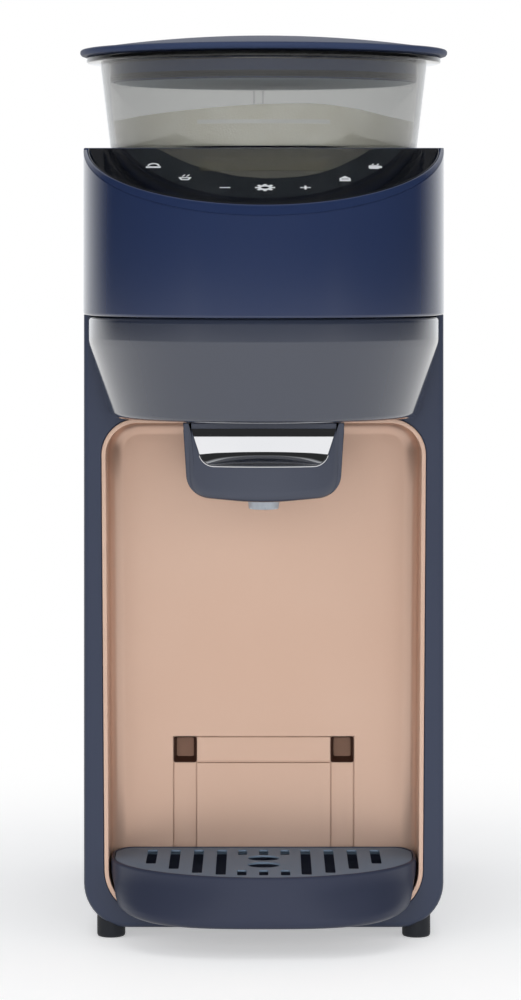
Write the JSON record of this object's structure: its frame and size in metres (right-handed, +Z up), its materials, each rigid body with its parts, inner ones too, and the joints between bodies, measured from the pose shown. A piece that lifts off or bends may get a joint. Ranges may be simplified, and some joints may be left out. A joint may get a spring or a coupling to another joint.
{
  "type": "baby formula maker",
  "caption": "Countertop machine that doses powder and warm water into a bottle: clear powder container on a round-fronted head, open bottle bay, drip tray, rear water tank.",
  "frame": {"origin": "on the table under the middle of the machine's bounding box", "axes": "+Z up, -Y towards the person who uses it, +X to that person's right"},
  "size_m": [0.17, 0.31, 0.4044],
  "materials": {
    "navy_gloss_shell": "glossy moulded ABS",
    "slate_satin_shell": "satin moulded ABS",
    "tray_plastic": "satin moulded ABS",
    "copper_liner": "copper-toned metallic paint",
    "black_glass": "black printed glass",
    "display": "unlit display",
    "circuit_board": "lacquered board",
    "milky_plastic": "translucent polypropylene",
    "funnel_plastic": "translucent copolyester",
    "dark_plastic": "moulded nylon",
    "motor_steel": "plated steel",
    "bright_steel": "ground steel",
    "gear_acetal": "acetal",
    "white_plastic": "moulded polypropylene",
    "smoky_clear": "smoky clear copolyester",
    "clear_tank": "smoky clear copolyester",
    "lid_plastic": "glossy moulded ABS",
    "black_rubber": "moulded silicone",
    "grey_silicone": "moulded silicone",
    "chrome": "chrome-plated plastic"
  },
  "bodies": {
    "housing": {"body_shell": "navy_gloss_shell", "bay_liner": "copper_liner", "rear_cover": "navy_gloss_shell", "head_shell": "navy_gloss_shell", "top_deck": "navy_gloss_shell", "panel_glass": "black_glass", "display_module": "display", "control_board": "circuit_board", "chin_cover": "slate_satin_shell", "drawer_rails": "slate_satin_shell", "powder_chute": "milky_plastic", "water_spout": "milky_plastic", "drive_bracket": "dark_plastic", "drive_motor": "motor_steel", "tank_dock": "navy_gloss_shell", "dock_floor": "dark_plastic", "dock_seal": "grey_silicone", "water_pump": "motor_steel", "flow_heater": "motor_steel", "pump_hose": "milky_plastic", "heater_hose": "milky_plastic", "spout_hose": "milky_plastic", "power_board": "circuit_board", "cable_gland": "dark_plastic", "case_screws": "motor_steel", "feet": "black_rubber"},
    "spindle": {"drive_spindle": "bright_steel", "drive_gear": "gear_acetal"},
    "pinion": {"motor_pinion": "gear_acetal"},
    "container": {"powder_container": "smoky_clear", "outlet_scraper": "white_plastic"},
    "wheel": {"dosing_wheel": "white_plastic", "agitator": "white_plastic"},
    "lid": {"powder_lid": "lid_plastic", "lid_gasket": "black_rubber"},
    "tank": {"water_tank": "clear_tank", "lid_hinge_pin": "bright_steel"},
    "tank_cover": {"tank_lid": "lid_plastic"},
    "valve": {"tank_valve": "grey_silicone"},
    "drawer": {"funnel_drawer": "slate_satin_shell", "pull_plate": "chrome", "mixing_funnel": "funnel_plastic"},
    "tray": {"drip_tray": "tray_plastic"},
    "grate": {"drip_grate": "slate_satin_shell"}
  },
  "joints": [
    {"name": "pinion_spin", "type": "hinge", "parent": "housing", "child": "pinion", "pos_m": [0.0311, 0, 0.335], "axis": [0, 0, 1], "continuous": true},
    {"name": "spindle_spin", "type": "hinge", "parent": "housing", "child": "spindle", "pos_m": [0, 0, 0.345], "axis": [0, 0, 1], "continuous": true},
    {"name": "container_lift", "type": "slide", "parent": "housing", "child": "container", "axis": [0, 0, 1], "range_m": [0, 0.06]},
    {"name": "wheel_spin", "type": "hinge", "parent": "container", "child": "wheel", "pos_m": [0, 0, 0.358], "axis": [0, 0, 1], "continuous": true},
    {"name": "lid_lift", "type": "slide", "parent": "container", "child": "lid", "axis": [0, 0, 1], "range_m": [0, 0.06]},
    {"name": "tank_lift", "type": "slide", "parent": "housing", "child": "tank", "axis": [0, 0, 1], "range_m": [0, 0.25]},
    {"name": "tank_lid_hinge", "type": "hinge", "parent": "tank", "child": "tank_cover", "pos_m": [0, 0.1475, 0.3468], "axis": [-1, 0, 0], "range_deg": [0, 95]},
    {"name": "valve_slide", "type": "slide", "parent": "tank", "child": "valve", "axis": [0, 0, 1], "range_m": [-0.004, 0]},
    {"name": "drawer_slide", "type": "slide", "parent": "housing", "child": "drawer", "axis": [0, -1, 0], "range_m": [0, 0.07]},
    {"name": "tray_height", "type": "slide", "parent": "housing", "child": "tray", "axis": [0, 0, 1], "range_m": [0, 0.05]},
    {"name": "grate_lift", "type": "slide", "parent": "tray", "child": "grate", "axis": [0, 0, 1], "range_m": [0, 0.04]}
  ],
  "couplings": [
    {"joint": "spindle_spin", "follows": "wheel_spin", "ratio": 1},
    {"joint": "pinion_spin", "follows": "wheel_spin", "ratio": -3.4286},
    {"joint": "valve_slide", "follows": "tank_lift", "ratio": -0.016}
  ]
}
